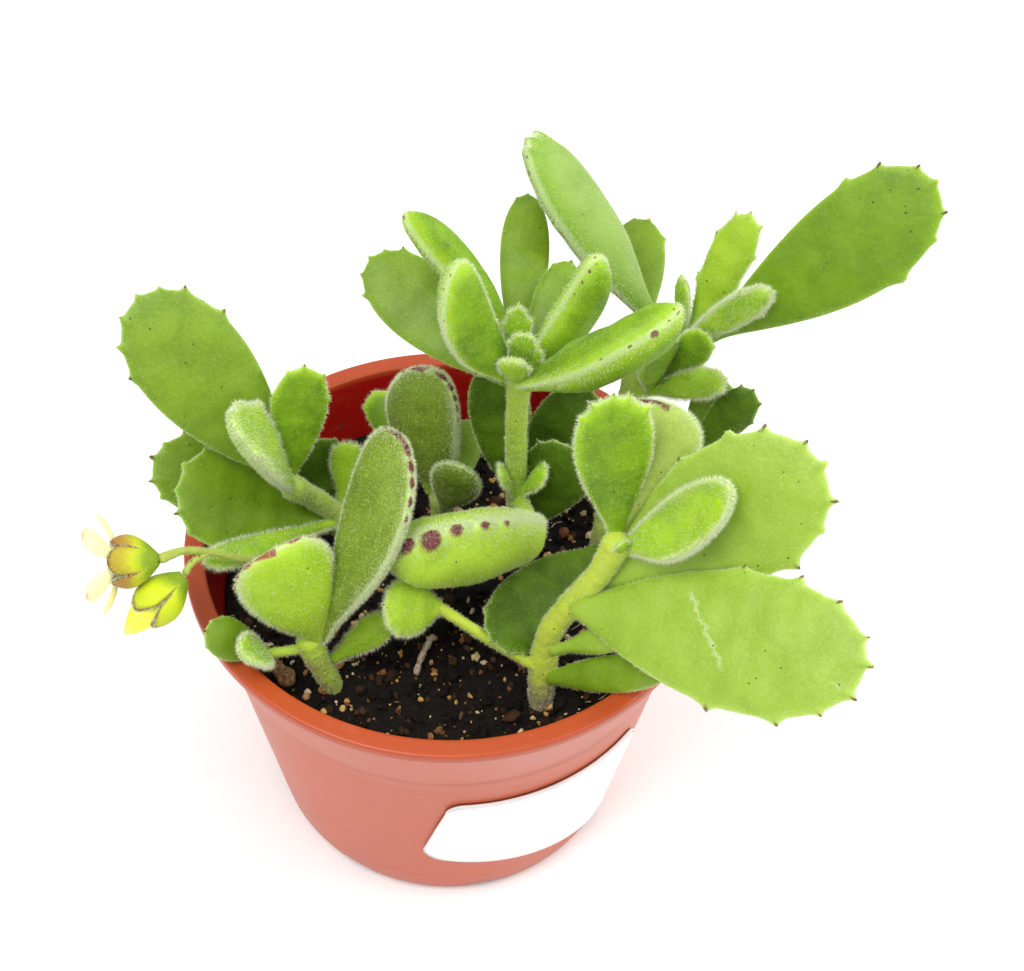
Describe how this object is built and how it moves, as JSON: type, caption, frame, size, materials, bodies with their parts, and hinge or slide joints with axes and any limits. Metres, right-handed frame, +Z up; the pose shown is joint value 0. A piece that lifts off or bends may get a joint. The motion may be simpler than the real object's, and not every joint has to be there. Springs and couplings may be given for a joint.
{
  "type": "bear's paw succulent in a nursery pot",
  "caption": "Potted bear's paw succulent: woolly stems with thick, clawed paddle leaves and a small yellow flower stalk, standing in soil in a round tapered nursery pot with a bare label.",
  "frame": {"origin": "centre of the pot's underside, on the surface it stands on", "axes": "+Z up; -Y towards the side of the pot that carries the label; +X towards the longest leaves"},
  "size_m": [0.1514, 0.1151, 0.1476],
  "materials": {
    "pot": "terracotta-coloured plastic, satin gloss",
    "label": "white film label, bare",
    "soil": "dark damp peat with pale grit",
    "stem": "yellow-green woolly stem",
    "leaf": "green leaf with short dense hairs",
    "calyx": "yellow-green sepals with brown edges",
    "petal": "pale yellow petals",
    "bud": "bright yellow-green bud"
  },
  "bodies": {
    "root": {"pot": "pot", "label": "label", "soil": "soil", "flower_stalk": "stem", "flower_calyx": "calyx", "bud_calyx": "calyx", "flower_petals": "petal", "bud_petals": "bud", "stem_front_left": "stem", "stem_left": "stem", "stem_centre": "stem", "stem_back_right": "stem", "stem_back_low": "stem", "stem_middle_back": "stem", "stem_front_right": "stem", "leaf_tall_front": "leaf", "leaf_cupped_front": "leaf", "leaf_left_tiny": "leaf", "leaf_left_curled": "leaf", "leaf_left_broad": "leaf", "leaf_left_upright": "leaf", "leaf_left_young": "leaf", "leaf_left_low": "leaf", "leaf_left_behind": "leaf", "leaf_left_inner": "leaf", "leaf_under_flower": "leaf", "leaf_middle_back": "leaf", "leaf_middle_slim": "leaf", "leaf_middle_low": "leaf", "leaf_middle_left": "leaf", "leaf_claw_centre": "leaf", "leaf_low_back_left": "leaf", "leaf_low_back_right": "leaf", "leaf_top_left": "leaf", "leaf_top_right": "leaf", "leaf_top_left_back": "leaf", "leaf_top_back": "leaf", "leaf_flat_left": "leaf", "leaf_long_right": "leaf", "leaf_top_inner": "leaf", "leaf_crown": "leaf", "leaf_crown_behind": "leaf", "leaf_far_right": "leaf", "leaf_right_upright": "leaf", "leaf_right_woolly": "leaf", "leaf_right_fold": "leaf", "leaf_right_pale": "leaf", "leaf_right_bud": "leaf", "leaf_right_low": "leaf", "leaf_right_brown": "leaf", "leaf_front_upright": "leaf", "leaf_front_cupped": "leaf", "leaf_round_back": "leaf", "leaf_wide_right": "leaf", "leaf_large_front": "leaf", "leaf_small_bright": "leaf", "leaf_stalk_right": "leaf", "leaf_low_right": "leaf", "leaf_low_front": "leaf", "leaf_dark_back": "leaf"}
  },
  "joints": []
}
